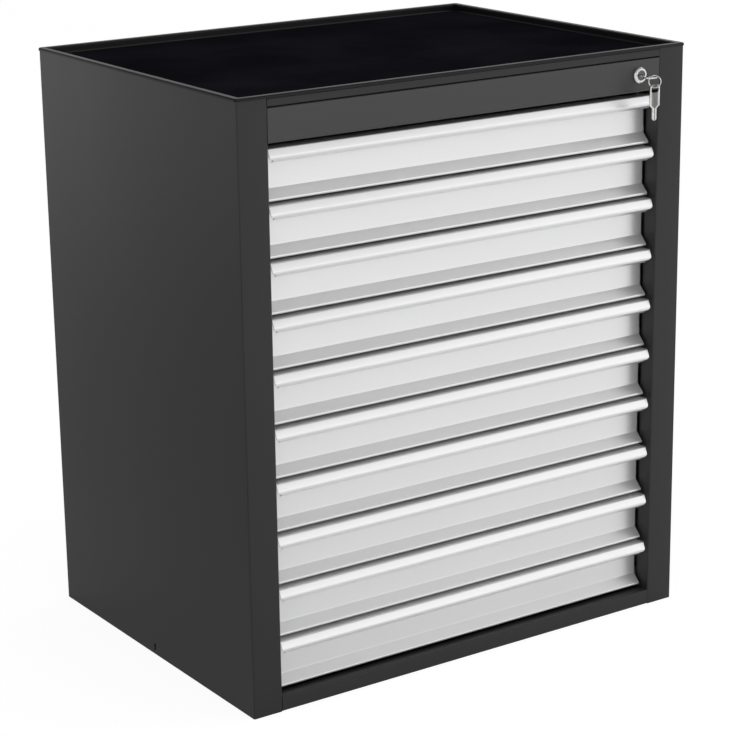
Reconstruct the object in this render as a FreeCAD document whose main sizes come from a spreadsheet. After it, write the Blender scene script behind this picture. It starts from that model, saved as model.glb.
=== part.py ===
import FreeCAD, Part
import math
import os
import re
import Sketcher

# Workshop drawer cabinet: a folded sheet body with ten drawers, a tray top with a mat,
# and a key lock that lifts a bar beside the drawers.
# Frame: +X to the right seen from the front, the front faces -Y, +Z up,
# origin on the floor under the middle of the body. All sizes in millimetres.

DRAWERS = 10
GUIDE_DRAWERS = (0, 4, 9)
V = FreeCAD.Vector
doc = FreeCAD.newDocument("drawer_cabinet")
sheet = doc.addObject("Spreadsheet::Sheet", "sizes")

SIZES = (
    ("body_width", 720.0, "body across the front"),
    ("body_depth", 530.0, "body front to back"),
    ("body_height", 817.0, "body without the tray top"),
    ("sheet_gauge", 1.0, "body, drawer and front sheet"),
    ("runner_gauge", 1.2, "posts, runners and bar guides"),
    ("bend_radius", 2.0, "outer radius of the sheet bends"),
    ("jamb_width", 44.0, "front flange of each side panel"),
    ("jamb_return", 25.0, "inward return behind the jamb"),
    ("rear_flange", 25.0, "rear flange of each side panel"),
    ("slot_width", 4.0, "slot low in each side panel"),
    ("slot_low", 6.0, "lower end of the slot"),
    ("slot_high", 16.0, "upper end of the slot"),
    ("foot_height", 26.0, "floor to the lowest drawer front"),
    ("head_height", 64.5, "highest drawer front to the body top"),
    ("drawer_gap", 3.5, "gap between drawer fronts"),
    ("base_rail", 22.0, "front rail of the base"),
    ("base_rail_return", 18.0, "return on top of the base rail"),
    ("base_flange", 20.0, "side and rear flanges of the base"),
    ("roof_band", 11.0, "front band of the roof sheet"),
    ("roof_band_return", 12.0, "return under the roof band"),
    ("roof_ledge", 6.0, "ledge along the front of the roof, under the tray rim"),
    ("roof_drop", 8.5, "pan of the roof below the body top"),
    ("rail_height", 44.5, "lock rail"),
    ("rail_seam", 1.0, "seam between lock rail and roof band"),
    ("rail_return", 15.0, "returns of the lock rail"),
    ("tray_overhang", 2.0, "tray top past the body all round"),
    ("tray_rise", 4.0, "tray rim above the body top"),
    ("tray_rim", 10.5, "width of the tray rim"),
    ("tray_wall", 2.0, "wall of the tray inside the roof pan"),
    ("tray_floor", 1.0, "floor of the tray top"),
    ("tray_corner", 6.0, "plan corners of the tray top"),
    ("tray_edge", 2.2, "rounding along the top of the rim"),
    ("tray_foot", 3.0, "fillet at the foot of the rim inside"),
    ("mat_thickness", 1.5, "mat in the tray top"),
    ("mat_gap", 3.3, "mat edge to the rim"),
    ("post_front", 45.0, "front post behind the frame face"),
    ("post_depth", 30.0, "flanges of the posts"),
    ("post_rear", 500.0, "back face of the rear post behind the frame face"),
    ("post_headroom", 17.0, "post top below the body top"),
    ("channel_height", 20.0, "runner channel on the body"),
    ("channel_flange", 11.0, "flanges of the runner channel"),
    ("channel_drop", 50.0, "channel underside below the front's top"),
    ("body_roller_radius", 7.0, "roller at the front of each channel"),
    ("body_roller_length", 8.3, "roller at the front of each channel"),
    ("body_roller_back", 52.0, "its axis behind the frame face"),
    ("drawer_roller_radius", 8.0, "roller at the back of each drawer"),
    ("drawer_roller_length", 8.8, "roller at the back of each drawer"),
    ("drawer_roller_back", 490.0, "its axis behind the frame face"),
    ("roller_clear", 0.3, "air between rollers and their tracks"),
    ("front_side_gap", 3.5, "gap beside each drawer front"),
    ("front_set_back", 27.0, "recessed face of a front behind the frame face"),
    ("front_flare", 15.5, "depth of the flare at the foot of a front"),
    ("front_foot_radius", 2.6, "outer radius at the foot of the flare"),
    ("flare_bend", 2.5, "outer radius at the top of the flare"),
    ("front_foot_return", 32.0, "end of the return under the front"),
    ("lip_back", 7.2, "top bend of the lip behind the frame face"),
    ("lip_nose_back", 2.05, "nose vertex of the lip behind the frame face"),
    ("lip_nose_drop", 12.54, "nose vertex below the front's top"),
    ("lip_nose_radius", 5.0, "outer radius of the nose"),
    ("lip_end_back", 9.7, "free edge of the lip behind the frame face"),
    ("lip_end_drop", 18.2, "free edge below the front's top"),
    ("lip_corner", 7.0, "rounding of the lip at both ends"),
    ("lip_corner_drop", 15.0, "lowest point of that rounding below the front's top"),
    ("tray_side_gap", 13.0, "drawer tray side past the inner edge of the jamb"),
    ("tray_back", 500.0, "back of the drawer tray behind the frame face"),
    ("tray_drop", 8.0, "tray wall below the front's top"),
    ("tray_lift", 5.0, "tray underside above the front's foot"),
    ("tray_bend", 2.0, "vertical corners of the drawer tray"),
    ("hem_height", 4.0, "folded hem on the tray walls"),
    ("rail_flange", 10.5, "flange of the drawer runner"),
    ("rail_web", 14.0, "web of the drawer runner"),
    ("rail_rise", 3.0, "its underside above the channel underside"),
    ("rail_end_cut", 2.0, "its back end below its top"),
    ("rail_front", 30.0, "front end of the drawer runner"),
    ("rail_stop", 478.0, "flange end ahead of the drawer roller"),
    ("rail_back", 498.0, "back end of the drawer runner"),
    ("tab_drop", 22.0, "catch tab underside below the front's top"),
    ("tab_height", 8.0, "catch tab"),
    ("tab_reach", 11.5, "catch tab out from the tray wall"),
    ("tab_front", 34.0, "catch tab behind the frame face"),
    ("tab_gauge", 2.0, "catch tab"),
    ("tab_foot", 14.0, "foot of the catch tab"),
    ("lock_inset", 36.0, "lock axis left of the right jamb"),
    ("lock_below", 33.0, "lock axis below the body top"),
    ("lock_head_radius", 11.0, "head of the lock"),
    ("lock_head_proud", 5.0, "head of the lock"),
    ("lock_head_edge", 1.6, "bevel on the head"),
    ("lock_body_radius", 9.5, "barrel of the lock"),
    ("lock_body_back", 22.0, "barrel behind the frame face"),
    ("lock_hole_clear", 0.1, "rail hole around the barrel"),
    ("plug_radius", 7.0, "turning plug"),
    ("plug_recess", 1.2, "plug face behind the face of the head"),
    ("plug_clear", 0.05, "running fit of the plug"),
    ("plug_back", 24.0, "plug behind the frame face"),
    ("keyway_half_width", 4.3, "keyway"),
    ("keyway_half_height", 1.4, "keyway"),
    ("keyway_back", 18.0, "keyway behind the frame face"),
    ("cam_radius", 10.0, "cam disc"),
    ("cam_thickness", 2.5, "cam disc"),
    ("pin_offset", 5.0, "cam pin from the lock axis, across and down"),
    ("pin_radius", 2.0, "cam pin"),
    ("pin_back", 37.0, "cam pin behind the frame face"),
    ("key_thickness", 2.0, "keys"),
    ("key_bow_radius", 10.5, "bow of the key in the lock"),
    ("key_bow_front", 22.0, "bow centre ahead of the frame face"),
    ("key_hole_radius", 4.5, "hole in the bow"),
    ("key_hole_offset", 4.0, "hole centre out from the bow centre"),
    ("key_half_width", 4.0, "blade"),
    ("key_tip", 14.0, "blade behind the frame face"),
    ("key_blade_start", 7.35, "blade start inside the bow, from its centre"),
    ("key_cut", 1.6, "cuts in the blade, depth"),
    ("key_cut_width", 2.5, "cuts in the blade, width"),
    ("key_cut_first", 4.0, "first cut from the tip"),
    ("key_cut_pitch", 5.0, "pitch of the cuts"),
    ("ring_radius", 8.2, "key ring to the wire centre"),
    ("ring_wire", 0.8, "key ring wire radius"),
    ("ring_across", 2.68, "ring centre from the lock axis"),
    ("ring_front", 29.78, "ring centre ahead of the frame face"),
    ("ring_below", 5.48, "ring centre below the lock axis"),
    ("ring_heading", 44.1, "ring plane turned from the front plane, degrees"),
    ("spare_half_width", 8.5, "bow of the spare key"),
    ("spare_above", 4.6, "bow top above the ring wire"),
    ("spare_hang", 0.9, "hole top above the wire"),
    ("spare_bow", 33.0, "bow of the spare key, height"),
    ("spare_length", 49.5, "spare key"),
    ("spare_hole_half", 4.2, "half height of its hole"),
    ("spare_hole_flat", 2.2, "half of the straight part of its hole"),
    ("spare_hole_round", 3.36, "corners of its hole"),
    ("spare_top_half", 5.1, "half of its flat top"),
    ("spare_shoulder", 3.8, "top down to the full width"),
    ("spare_waist", 4.2, "taper from the bow to the blade"),
    ("spare_blade_half", 3.3, "its blade"),
    ("spare_tip_rise", 2.0, "taper at the tip"),
    ("spare_tip_half", 1.3, "half of the flat tip"),
    ("bar_left", 1.5, "lock bar right of the right jamb's inner edge"),
    ("bar_right", 13.0, "lock bar right of the right jamb's inner edge"),
    ("bar_front", 33.0, "lock bar behind the frame face"),
    ("bar_gauge", 3.0, "lock bar"),
    ("bar_foot", 30.0, "lower end of the lock bar"),
    ("bar_arm_reach", 18.0, "arm of the lock bar past the lock axis"),
    ("bar_arm_half", 11.0, "half height of the arm"),
    ("bar_slot_clear", 0.6, "slot around the cam pin"),
    ("lug_left", -7.0, "lugs right of the right jamb's inner edge"),
    ("lug_right", 11.0, "lugs right of the right jamb's inner edge"),
    ("lug_drop", 32.0, "lug underside below the front's top"),
    ("lug_height", 8.0, "lugs"),
    ("lug_gauge", 3.0, "lugs"),
    ("guide_left", 0.0, "bar guides right of the right jamb's inner edge"),
    ("guide_right", 14.8, "bar guides right of the right jamb's inner edge"),
    ("guide_front", 31.5, "bar guides behind the frame face"),
    ("guide_turn", 40.0, "end of their inner leg"),
    ("guide_drop", 62.0, "guide underside below the front's top"),
    ("guide_height", 15.0, "bar guides"),
)
for row, (alias, value, note) in enumerate(SIZES, start=1):
    sheet.set(f"A{row}", note)
    sheet.set(f"B{row}", str(value))
    sheet.setAlias(f"B{row}", alias)
doc.recompute()
ALIASES = {alias for alias, value, note in SIZES}


def bound(text):
    """A formula in words of the sheet, with the sheet's name put before each word."""
    return re.sub(r"[a-z_]+", lambda m: "sizes." + m.group(0) if m.group(0) in ALIASES else m.group(0), text)


def number(text):
    """The value of a formula now."""
    return float(sheet.evalExpression(bound(text)))


def across(text):
    """X of a distance from the left side of the body."""
    return f"(-body_width/2+({text}))"


def beside(text):
    """X of a distance to the right of the right jamb's inner edge."""
    return f"(body_width/2-jamb_width+({text}))"


def back(text):
    """Y of a distance behind the frame face."""
    return f"(-body_depth/2+({text}))"


def put(obj, x="0", y="0", z="0", rotation=None):
    """Bind an object's place to three formulas."""
    if rotation is not None:
        obj.Placement = FreeCAD.Placement(V(0, 0, 0), rotation)
    obj.setExpression("Placement.Base.x", bound(x))
    obj.setExpression("Placement.Base.y", bound(y))
    obj.setExpression("Placement.Base.z", bound(z))
    return obj


TURN = {
    "XY": FreeCAD.Rotation(),
    "YZ": FreeCAD.Rotation(V(0, 1, 0), V(0, 0, 1), V(1, 0, 0)),
    "XZ": FreeCAD.Rotation(V(1, 0, 0), V(0, 0, 1), V(0, -1, 0)),
}
NORMAL = {"XY": V(0, 0, 1), "YZ": V(1, 0, 0), "XZ": V(0, -1, 0)}
ALONG_X = FreeCAD.Rotation(V(0, 1, 0), 90)
ALONG_Y = FreeCAD.Rotation(V(1, 0, 0), -90)


def open_path(sketch, corners):
    """An open path of straight runs with every corner held at two formulas."""
    points = [V(number(a), number(b), 0) for a, b in corners]
    runs = [
        sketch.addGeometry(Part.LineSegment(points[i], points[i + 1]), False)
        for i in range(len(points) - 1)
    ]
    for i, run in enumerate(runs):
        pin_down(sketch, run, 1, corners[i])
        if i > 0:
            sketch.addConstraint(Sketcher.Constraint("Coincident", runs[i - 1], 2, run, 1))
    pin_down(sketch, runs[-1], 2, corners[-1])
    return points


def bend_edges(solid, turn, origin, points, radii, gauge):
    """The long edges at each corner of a folded sheet, each with the radius of its side."""
    long_edges = []
    for i, edge in enumerate(solid.Shape.Edges, start=1):
        local = turn.inverted().multVec(edge.CenterOfMass - origin)
        ends = [turn.inverted().multVec(v.Point - origin) for v in edge.Vertexes]
        slant = abs(ends[0].x - ends[1].x) + abs(ends[0].y - ends[1].y)
        if abs(ends[0].z - ends[1].z) > 1e-6 and slant < 1e-6:
            long_edges.append((i, V(local.x, local.y, 0)))
    chosen = []
    for i, text in enumerate(radii, start=1):
        one = (points[i] - points[i - 1]).normalize()
        two = (points[i + 1] - points[i]).normalize()
        left = V(-one.y, one.x, 0) + V(-two.y, two.x, 0)
        inner = points[i] + left * (gauge / (1 + one.dot(two)))
        radius = number(text)
        other = radius - gauge if one.cross(two).z > 0 else radius + gauge
        for spot, size in ((points[i], radius), (inner, other)):
            near = min(long_edges, key=lambda pair: (pair[1] - spot).Length)
            chosen.append((near[0], size, size))
    return chosen


def pin_down(sketch, geometry, end, corner):
    """Hold one point of a sketch at two formulas."""
    for kind, text in zip(("DistanceX", "DistanceY"), corner):
        held = sketch.addConstraint(Sketcher.Constraint(kind, -1, 1, geometry, end, number(text)))
        sketch.setExpression(f"Constraints[{held}]", bound(text))


def outline(sketch, corners):
    """A closed outline of straight runs with every corner held at two formulas."""
    points = [V(number(a), number(b), 0) for a, b in corners]
    count = len(points)
    sides = [
        sketch.addGeometry(Part.LineSegment(points[i], points[(i + 1) % count]), False)
        for i in range(count)
    ]
    for i, side in enumerate(sides):
        sketch.addConstraint(Sketcher.Constraint("Coincident", side, 2, sides[(i + 1) % count], 1))
        pin_down(sketch, side, 1, corners[i])


def lay_left(skin, sketch, points, gauge):
    """Bind the sheet's thickness so that the sheet lies left of its path."""
    run = points[1] - points[0]
    left = points[0] + V(-run.y, run.x, 0).normalize() * number(gauge)
    for sign in ("-", ""):
        skin.setExpression("Value", bound(f"{sign}{gauge}"))
        doc.recompute()
        spot = sketch.Placement.multVec(left)
        if min((vertex.Point - spot).Length for vertex in skin.Shape.Vertexes) < 1e-4:
            return
    raise RuntimeError(skin.Name + " has its sheet on neither side")


def folded(name, plane, place, corners, radii, gauge, length):
    """Sheet folded along a path; the path is one face and the sheet lies left of it."""
    sketch = doc.addObject("Sketcher::SketchObject", name + "_path")
    points = open_path(sketch, corners)
    put(sketch, *place, rotation=TURN[plane])
    skin = doc.addObject("Part::Offset2D", name + "_section")
    skin.Source = sketch
    skin.Mode = "Skin"
    skin.Join = "Intersection"
    skin.Fill = True
    lay_left(skin, sketch, points, gauge)
    solid = doc.addObject("Part::Extrusion", name + "_sheet")
    solid.Base = skin
    solid.DirMode = "Custom"
    solid.Dir = NORMAL[plane]
    solid.Solid = True
    solid.setExpression("LengthFwd", bound(length))
    doc.recompute()
    bent = doc.addObject("Part::Fillet", name + "_bends")
    bent.Base = solid
    origin = V(*[number(text) for text in place])
    bent.Edges = bend_edges(solid, TURN[plane], origin, points, radii, number(gauge))
    return bent


def box(name, x, y, z):
    """A block between two formulas on each axis."""
    block = doc.addObject("Part::Box", name)
    block.setExpression("Length", bound(f"({x[1]})-({x[0]})"))
    block.setExpression("Width", bound(f"({y[1]})-({y[0]})"))
    block.setExpression("Height", bound(f"({z[1]})-({z[0]})"))
    return put(block, x[0], y[0], z[0])


def rod(name, rotation, radius, length, x, y, z):
    """A cylinder from a point, along the axis that the rotation gives."""
    bar = doc.addObject("Part::Cylinder", name)
    bar.setExpression("Radius", bound(radius))
    bar.setExpression("Height", bound(length))
    return put(bar, x, y, z, rotation=rotation)


def fuse(name, pieces):
    whole = doc.addObject("Part::MultiFuse", name)
    whole.Shapes = pieces
    return whole


def cut(name, base, tool):
    rest = doc.addObject("Part::Cut", name)
    rest.Base = base
    rest.Tool = tool
    return rest


def mirrored(name, source):
    """The same piece on the other side of the middle plane."""
    other = doc.addObject("Part::Mirroring", name)
    other.Source = source
    other.Normal = V(1, 0, 0)
    return other


def group(name, pieces):
    bundle = doc.addObject("Part::Compound", name)
    bundle.Links = pieces
    return bundle


def new_body(name, z="0", y="0"):
    body = doc.addObject("PartDesign::Body", name)
    return put(body, "0", y, z)


def sketch_on(body, name, role, corners_list, offset="0"):
    """A sketch of closed outlines on one of the body's own planes, lifted by a formula."""
    sketch = body.newObject("Sketcher::SketchObject", name)
    plane = [f for f in body.Origin.OriginFeatures if f.Role == role][0]
    sketch.AttachmentSupport = [(plane, "")]
    sketch.MapMode = "FlatFace"
    sketch.setExpression("AttachmentOffset.Base.z", bound(offset))
    for corners in corners_list:
        outline(sketch, corners)
    return sketch


def grow(body, kind, name, sketch, length, reverse=False):
    """A pad or pocket of a sketch over a bound length."""
    feature = body.newObject("PartDesign::" + kind, name)
    feature.Profile = sketch
    feature.setExpression("Length", bound(length))
    feature.Reversed = reverse
    doc.recompute()
    return feature


def rounded(body, name, source, radius, chosen):
    """A fillet on the edges of a feature that a test picks."""
    names = [f"Edge{i}" for i, edge in enumerate(source.Shape.Edges, start=1) if chosen(edge)]
    feature = body.newObject("PartDesign::Fillet", name)
    feature.Base = (source, names)
    feature.setExpression("Radius", bound(radius))
    doc.recompute()
    return feature


def upright(edge):
    low, high = edge.BoundBox.ZMin, edge.BoundBox.ZMax
    return high - low > 0.5 and edge.BoundBox.XLength < 1e-6 and edge.BoundBox.YLength < 1e-6


def level_at(height):
    return lambda edge: edge.BoundBox.ZLength < 1e-6 and abs(edge.BoundBox.ZMax - height) < 1e-6


def rectangle(x, y):
    return [(x[0], y[0]), (x[1], y[0]), (x[1], y[1]), (x[0], y[1])]


NODES = {}


def node(obj, name):
    obj.Label = name
    NODES[name] = obj
    return obj


FRONT = back("0")
REAR = "(body_depth/2)"
LEFT = across("0")
PITCH = "((body_height-head_height-foot_height+drawer_gap)/" + str(DRAWERS) + ")"
FRONT_HEIGHT = f"({PITCH}-drawer_gap)"


def top_of(n):
    """Height of the top of drawer front n, counted from the top down."""
    return f"(body_height-head_height-{n}*{PITCH})"


# Side panels: each is one sheet with the front jamb, its inward return and a rear flange.
# The return is cut short at the top, where the tray sits in the roof pan.
side = folded(
    "side_left",
    "XY",
    ("0", "0", "0"),
    [
        (across("rear_flange"), REAR),
        (LEFT, REAR),
        (LEFT, FRONT),
        (across("jamb_width"), FRONT),
        (across("jamb_width"), back("jamb_return")),
    ],
    ["bend_radius"] * 3,
    "sheet_gauge",
    "body_height",
)
slot = box(
    "side_slot",
    (across("-1"), across("jamb_width/2")),
    ("-slot_width/2", "slot_width/2"),
    ("slot_low", "slot_high"),
)
return_notch = box(
    "side_return_notch",
    (across("jamb_width-bend_radius"), across("jamb_width+1")),
    (back("roof_ledge"), back("jamb_return+1")),
    ("body_height-roof_drop-sheet_gauge", "body_height+1"),
)
side_panel_left = node(
    cut("side_panel_left", side, fuse("side_openings", [slot, return_notch])), "side_panel_left"
)
node(mirrored("side_panel_right", side_panel_left), "side_panel_right")

# Back panel: flat sheet inside the rear flanges.
node(
    box(
        "back_panel",
        (across("bend_radius"), "body_width/2-bend_radius"),
        ("body_depth/2-2*sheet_gauge", "body_depth/2-sheet_gauge"),
        ("0", "body_height"),
    ),
    "back_panel",
)

# Base: floor sheet with the visible front rail, a rear flange and two side flanges.
base = folded(
    "base",
    "YZ",
    (across("sheet_gauge"), "0", "0"),
    [
        (back("base_rail_return"), "base_rail"),
        (FRONT, "base_rail"),
        (FRONT, "0"),
        ("body_depth/2-2*sheet_gauge", "0"),
        ("body_depth/2-2*sheet_gauge", "base_flange"),
    ],
    ["bend_radius"] * 3,
    "sheet_gauge",
    "body_width-2*sheet_gauge",
)
base_flange_left = box(
    "base_flange_left",
    (across("sheet_gauge"), across("2*sheet_gauge")),
    (back("jamb_return+5"), "body_depth/2-5"),
    ("0", "base_flange"),
)
base_whole = fuse("base_whole", [base, base_flange_left, mirrored("base_flange_right", base_flange_left)])
base_notch = box(
    "base_notch",
    (across("-1"), across("jamb_width")),
    (back("-1"), back("jamb_return+1")),
    ("-1", "base_rail+1"),
)
base_holes = fuse("base_holes", [base_notch, mirrored("base_notch_right", base_notch), slot,
                                 mirrored("side_slot_right", slot)])
node(cut("base_panel", base_whole, base_holes), "base_panel")

# Roof: sheet sunk as a pan below the body top, with the narrow front band between the jambs.
PAN_BACK = "(body_depth/2-3*sheet_gauge)"
PAN_LEVEL = "(body_height-roof_drop)"
roof = folded(
    "roof",
    "YZ",
    (across("sheet_gauge"), "0", "0"),
    [
        (PAN_BACK, "body_height"),
        (PAN_BACK, PAN_LEVEL),
        (back("roof_ledge"), PAN_LEVEL),
        (back("roof_ledge"), "body_height"),
        (FRONT, "body_height"),
        (FRONT, "body_height-roof_band"),
        (back("roof_band_return"), "body_height-roof_band"),
    ],
    ["bend_radius"] * 5,
    "sheet_gauge",
    "body_width-2*sheet_gauge",
)
roof_notch = box(
    "roof_notch",
    (across("-1"), across("jamb_width")),
    (back("-1"), back("jamb_return")),
    ("body_height-roof_band-1", "body_height+1"),
)
roof_notches = fuse("roof_notches", [roof_notch, mirrored("roof_notch_right", roof_notch)])
node(cut("roof_panel", roof, roof_notches), "roof_panel")

# Lock rail: folded rail between the jambs with the hole for the lock.
RAIL_TOP = "(body_height-roof_band-rail_seam)"
RAIL_FOOT = f"({RAIL_TOP}-rail_height)"
rail = folded(
    "rail",
    "YZ",
    (across("jamb_width"), "0", "0"),
    [
        (back("rail_return"), RAIL_TOP),
        (FRONT, RAIL_TOP),
        (FRONT, RAIL_FOOT),
        (back("rail_return"), RAIL_FOOT),
    ],
    ["bend_radius"] * 2,
    "sheet_gauge",
    "body_width-2*jamb_width",
)
LOCK_X = beside("-lock_inset")
LOCK_Z = "(body_height-lock_below)"
rail_hole = rod("rail_hole", ALONG_Y, "lock_body_radius+lock_hole_clear", "2*lock_head_proud", LOCK_X,
                back("-lock_head_proud"), LOCK_Z)
node(cut("lock_rail", rail, rail_hole), "lock_rail")

# Tray top: moulded tray set into the roof pan, its rounded rim lying on the body's top edges.
RIM_X = "(body_width/2+tray_overhang)"
RIM_Y = "(body_depth/2+tray_overhang)"
WELL_X = f"({RIM_X}-tray_rim)"
WELL_Y = f"({RIM_Y}-tray_rim)"
TRAY_DEEP = "(roof_drop-tray_floor)"


def tray_step(name, half_x, half_y, offset, kind, depth):
    """One block or pocket of the tray on a rectangle about the middle."""
    outline_xy = rectangle(("-" + half_x, half_x), ("-" + half_y, half_y))
    flat = sketch_on(tray, name + "_plan", "XY_Plane", [outline_xy], offset=offset)
    return grow(tray, kind, name, flat, depth)


tray = new_body("top_tray", z="body_height")
block = tray_step("tray_block", RIM_X, RIM_Y, "0", "Pad", "tray_rise")
block = rounded(tray, "tray_corners", block, "tray_corner", upright)
LOWER_X = f"({WELL_X}+tray_wall)"
LOWER_Y = f"({WELL_Y}+tray_wall)"
lower = tray_step("tray_lower", LOWER_X, LOWER_Y, "-roof_drop", "Pad", "roof_drop")
rounded(tray, "tray_underside_round", lower, "tray_edge", level_at(-number("roof_drop")))
hollow = tray_step("tray_well", WELL_X, WELL_Y, "tray_rise", "Pocket", f"tray_rise+{TRAY_DEEP}")
INNER = number(WELL_X)
hollow = rounded(
    tray, "tray_foot_round", hollow, "tray_foot",
    lambda e: level_at(number(f"-{TRAY_DEEP}"))(e) and abs(e.BoundBox.Center.x) <= INNER + 1e-6,
)
rim = rounded(tray, "tray_rim_round", hollow, "tray_edge", level_at(number("tray_rise")))
tray.Tip = rim
node(tray, "top_tray")

# Mat lying in the tray.
mat = new_body("top_mat", z=f"body_height-{TRAY_DEEP}")
MAT_X = f"({WELL_X}-mat_gap)"
MAT_Y = f"({WELL_Y}-mat_gap)"
mat_outline = rectangle(("-" + MAT_X, MAT_X), ("-" + MAT_Y, MAT_Y))
mat_plan = sketch_on(mat, "mat_plan", "XY_Plane", [mat_outline])
mat_block = grow(mat, "Pad", "mat_block", mat_plan, "mat_thickness")
mat.Tip = rounded(mat, "mat_corners", mat_block, "mat_gap", upright)
node(mat, "top_mat")

# Runner posts: two folded uprights on each side panel that carry the runner channels.
POST_X = (across("sheet_gauge"), across("jamb_width"))
POST_FOOT = "(base_flange+sheet_gauge)"
post_front = folded(
    "post_front",
    "XY",
    ("0", "0", POST_FOOT),
    [
        (POST_X[0], back("post_front+post_depth")),
        (POST_X[0], back("post_front")),
        (POST_X[1], back("post_front")),
        (POST_X[1], back("post_front+post_depth")),
    ],
    ["bend_radius"] * 2,
    "runner_gauge",
    f"body_height-post_headroom-{POST_FOOT}",
)
post_rear = folded(
    "post_rear",
    "XY",
    ("0", "0", POST_FOOT),
    [
        (POST_X[1], back("post_rear-post_depth")),
        (POST_X[1], back("post_rear")),
        (POST_X[0], back("post_rear")),
        (POST_X[0], back("post_rear-post_depth")),
    ],
    ["bend_radius"] * 2,
    "runner_gauge",
    f"body_height-post_headroom-{POST_FOOT}",
)
posts_left = group("posts_left", [post_front, post_rear])
node(group("runner_posts", [posts_left, mirrored("posts_right", posts_left)]), "runner_posts")

# Runner channels and their front rollers, one pair for each drawer.
channels = []
rollers = []
for n in range(DRAWERS):
    low = f"({top_of(n)}-channel_drop)"
    channels.append(
        folded(
            f"channel_{n}",
            "XZ",
            ("0", back("post_rear"), "0"),
            [
                (across("jamb_width+channel_flange"), f"{low}+channel_height"),
                (across("jamb_width"), f"{low}+channel_height"),
                (across("jamb_width"), low),
                (across("jamb_width+channel_flange"), low),
            ],
            ["bend_radius"] * 2,
            "runner_gauge",
            "post_rear-post_front",
        )
    )
    rollers.append(
        rod(
            f"channel_roller_{n}",
            ALONG_X,
            "body_roller_radius",
            "body_roller_length",
            across("jamb_width+runner_gauge"),
            back("body_roller_back"),
            f"{low}+runner_gauge+roller_clear+body_roller_radius",
        )
    )
channels_left = group("channels_left", channels)
channels_right = mirrored("channels_right", channels_left)
node(group("runner_channels", [channels_left, channels_right]), "runner_channels")
rollers_left = group("channel_rollers_left", rollers)
rollers_right = mirrored("channel_rollers_right", rollers_left)
node(group("channel_rollers", [rollers_left, rollers_right]), "channel_rollers")

# Lock: fixed barrel, turning plug with a keyway, and a cam disc with an eccentric pin.
HEAD_Y = back("-lock_head_proud")
head = rod("lock_head", ALONG_Y, "lock_head_radius", "lock_head_proud", LOCK_X, HEAD_Y, LOCK_Z)
doc.recompute()
head_edge = doc.addObject("Part::Chamfer", "lock_head_bevel")
head_edge.Base = head
FACE = number(HEAD_Y)
head_edge.Edges = [
    (i, number("lock_head_edge"), number("lock_head_edge"))
    for i, edge in enumerate(head.Shape.Edges, start=1)
    if abs(edge.BoundBox.YMin - FACE) < 1e-6 and abs(edge.BoundBox.YMax - FACE) < 1e-6
]
barrel = rod("lock_barrel", ALONG_Y, "lock_body_radius", "lock_body_back", LOCK_X, FRONT, LOCK_Z)
bore = rod("lock_bore", ALONG_Y, "plug_radius+plug_clear", "lock_body_back+lock_head_proud+2",
           LOCK_X, back("-lock_head_proud-1"), LOCK_Z)
node(cut("lock_housing", fuse("lock_outer", [head_edge, barrel]), bore), "lock_housing")

PLUG_FACE = "(plug_recess-lock_head_proud)"
plug = rod("plug_round", ALONG_Y, "plug_radius", f"plug_back-{PLUG_FACE}", LOCK_X, back(PLUG_FACE), LOCK_Z)
keyway = box(
    "keyway",
    (f"{LOCK_X}-keyway_half_width", f"{LOCK_X}+keyway_half_width"),
    (back("-lock_head_proud-1"), back("keyway_back")),
    (f"{LOCK_Z}-keyway_half_height", f"{LOCK_Z}+keyway_half_height"),
)
node(cut("lock_plug", plug, keyway), "lock_plug")

cam_disc = rod("cam_disc", ALONG_Y, "cam_radius", "cam_thickness", LOCK_X, back("plug_back"), LOCK_Z)
cam_pin = rod("cam_pin", ALONG_Y, "pin_radius", "pin_back-plug_back", f"{LOCK_X}-pin_offset",
              back("plug_back"), f"{LOCK_Z}-pin_offset")
node(fuse("lock_cam", [cam_disc, cam_pin]), "lock_cam")

# Key in the lock: flat key with a round bow, its blade cut along one edge.
KEY_LOW = f"({LOCK_Z}-key_thickness/2)"
bow = rod("key_bow", FreeCAD.Rotation(), "key_bow_radius", "key_thickness", LOCK_X,
          back("-key_bow_front"), KEY_LOW)
blade = box(
    "key_blade",
    (f"{LOCK_X}-key_half_width", f"{LOCK_X}+key_half_width"),
    (back("-key_bow_front+key_blade_start"), back("key_tip")),
    (KEY_LOW, f"{KEY_LOW}+key_thickness"),
)
bow_hole = rod("key_bow_hole", FreeCAD.Rotation(), "key_hole_radius", "key_thickness+2", LOCK_X,
               back("-key_bow_front-key_hole_offset"), f"{KEY_LOW}-1")
key_cuts = [bow_hole]
for i in range(3):
    key_cuts.append(
        box(
            f"key_cut_{i}",
            (f"{LOCK_X}+key_half_width-key_cut", f"{LOCK_X}+key_half_width+1"),
            (back(f"key_tip-key_cut_first-{i}*key_cut_pitch"),
             back(f"key_tip-key_cut_first+key_cut_width-{i}*key_cut_pitch")),
            (f"{KEY_LOW}-1", f"{KEY_LOW}+key_thickness+1"),
        )
    )
node(cut("key", fuse("key_whole", [bow, blade]), fuse("key_cuts", key_cuts)), "key")

# Key ring through the bow, seen nearly flat from the front left.
ring = doc.addObject("Part::Torus", "key_ring")
ring.setExpression("Radius1", bound("ring_radius"))
ring.setExpression("Radius2", bound("ring_wire"))
RING_X = f"({LOCK_X}+ring_across)"
RING_Y = back("-ring_front")
HEADING = math.radians(number("ring_heading"))
put(ring, RING_X, RING_Y, f"{LOCK_Z}-ring_below",
    rotation=FreeCAD.Rotation(V(0, 0, 1), V(math.sin(HEADING), math.cos(HEADING), 0)))
node(ring, "key_ring")

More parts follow.
